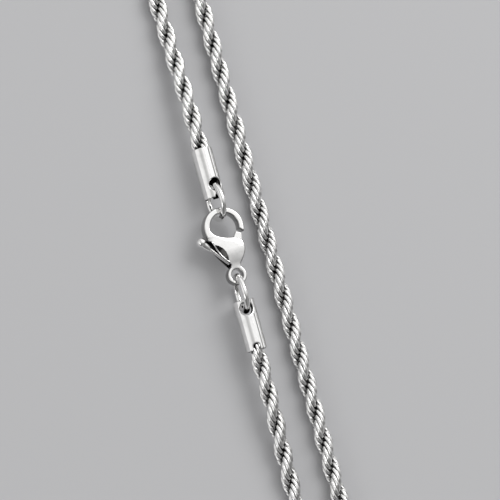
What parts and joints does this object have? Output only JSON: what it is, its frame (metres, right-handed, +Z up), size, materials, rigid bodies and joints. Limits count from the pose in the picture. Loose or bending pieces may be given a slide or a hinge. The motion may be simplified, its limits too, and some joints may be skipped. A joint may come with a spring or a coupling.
{
  "type": "chain necklace",
  "caption": "Closed rope chain necklace of interlinked round wire links, with tube end caps, jump rings and a lobster clasp whose sprung gate opens.",
  "frame": {"origin": "on the table under the middle of the laid-out loop", "axes": "+Y along the two long runs towards the hook, +Z up from the table, +X towards the run without the clasp"},
  "size_m": [0.0469, 0.2158, 0.0069],
  "materials": {
    "link_silver": "polished silver wire",
    "cap_silver": "polished silver tube",
    "ring_silver": "polished silver wire",
    "clasp_silver": "polished silver casting",
    "lever_silver": "polished silver casting",
    "pin_steel": "flush rivet, polished with the clasp",
    "spring_steel": "drawn spring wire"
  },
  "bodies": {
    "right_run": {"right_run_links": "link_silver"},
    "top_right_bend": {"top_right_flare_links": "link_silver", "top_right_bow_links": "link_silver"},
    "top_end": {"top_end_links": "link_silver"},
    "top_left_bend": {"top_left_bow_links": "link_silver", "top_left_flare_links": "link_silver"},
    "left_upper_run": {"left_upper_links": "link_silver", "upper_end_cap": "cap_silver"},
    "upper_ring": {"upper_jump_ring": "ring_silver"},
    "bottom_right_bend": {"bottom_right_flare_links": "link_silver", "bottom_right_bow_links": "link_silver"},
    "bottom_end": {"bottom_end_links": "link_silver"},
    "bottom_left_bend": {"bottom_left_bow_links": "link_silver", "bottom_left_flare_links": "link_silver"},
    "left_lower_run": {"left_lower_links": "link_silver", "lower_end_cap": "cap_silver"},
    "lower_ring": {"lower_jump_ring": "ring_silver"},
    "clasp": {"clasp_body": "clasp_silver", "clasp_pin": "pin_steel", "clasp_spring": "spring_steel"},
    "lever": {"clasp_lever": "lever_silver"}
  },
  "joints": [
    {"name": "loop_spread", "type": "hinge", "parent": "right_run", "child": "top_right_bend", "pos_m": [0.00373, 0.0488, 0.0015], "axis": [0, 0, 1], "range_deg": [-0.8, 6]},
    {"name": "top_right_tip_bend", "type": "hinge", "parent": "top_right_bend", "child": "top_end", "pos_m": [0.01141, 0.10331, 0.0015], "axis": [0, 0, 1], "range_deg": [-6, 0.8]},
    {"name": "top_left_tip_bend", "type": "hinge", "parent": "top_end", "child": "top_left_bend", "pos_m": [-0.01141, 0.10331, 0.0015], "axis": [0, 0, 1], "range_deg": [-6, 0.8]},
    {"name": "top_left_corner_bend", "type": "hinge", "parent": "top_left_bend", "child": "left_upper_run", "pos_m": [-0.00373, 0.0488, 0.0015], "axis": [0, 0, 1], "range_deg": [-0.8, 6]},
    {"name": "bottom_right_corner_bend", "type": "hinge", "parent": "right_run", "child": "bottom_right_bend", "pos_m": [0.00373, -0.0488, 0.0015], "axis": [0, 0, 1], "range_deg": [-6, 0.8]},
    {"name": "bottom_right_tip_bend", "type": "hinge", "parent": "bottom_right_bend", "child": "bottom_end", "pos_m": [0.01141, -0.10331, 0.0015], "axis": [0, 0, 1], "range_deg": [-0.8, 6]},
    {"name": "bottom_left_tip_bend", "type": "hinge", "parent": "bottom_end", "child": "bottom_left_bend", "pos_m": [-0.01141, -0.10331, 0.0015], "axis": [0, 0, 1], "range_deg": [-0.8, 6]},
    {"name": "bottom_left_corner_bend", "type": "hinge", "parent": "bottom_left_bend", "child": "left_lower_run", "pos_m": [-0.00373, -0.0488, 0.0015], "axis": [0, 0, 1], "range_deg": [-6, 0.8]},
    {"name": "clasp_sway", "type": "hinge", "parent": "left_lower_run", "child": "lower_ring", "pos_m": [-0.00373, -0.00997, 0.00345], "axis": [0, 0, 1], "range_deg": [-8, 8]},
    {"name": "eye_swivel", "type": "hinge", "parent": "lower_ring", "child": "clasp", "pos_m": [-0.00373, -0.00481, 0.00345], "axis": [0, 0, 1], "range_deg": [-8, 8]},
    {"name": "upper_ring_sway", "type": "hinge", "parent": "left_upper_run", "child": "upper_ring", "pos_m": [-0.00373, 0.01057, 0.00345], "axis": [0, 0, 1], "range_deg": [-8, 8]},
    {"name": "gate_open", "type": "hinge", "parent": "clasp", "child": "lever", "pos_m": [-0.00317, -0.00111, 0.00345], "axis": [0, 0, 1], "range_deg": [0, 20], "stiffness_Nm_per_rad": 0.002, "deforming": ["clasp_spring"]}
  ],
  "couplings": [
    {"joint": "top_right_tip_bend", "follows": "loop_spread", "ratio": -1},
    {"joint": "top_left_tip_bend", "follows": "loop_spread", "ratio": -1},
    {"joint": "top_left_corner_bend", "follows": "loop_spread", "ratio": 1},
    {"joint": "bottom_right_corner_bend", "follows": "loop_spread", "ratio": -1},
    {"joint": "bottom_right_tip_bend", "follows": "loop_spread", "ratio": 1},
    {"joint": "bottom_left_tip_bend", "follows": "loop_spread", "ratio": 1},
    {"joint": "bottom_left_corner_bend", "follows": "loop_spread", "ratio": -1},
    {"joint": "eye_swivel", "follows": "clasp_sway", "ratio": -1},
    {"joint": "upper_ring_sway", "follows": "clasp_sway", "ratio": -0.9705}
  ]
}
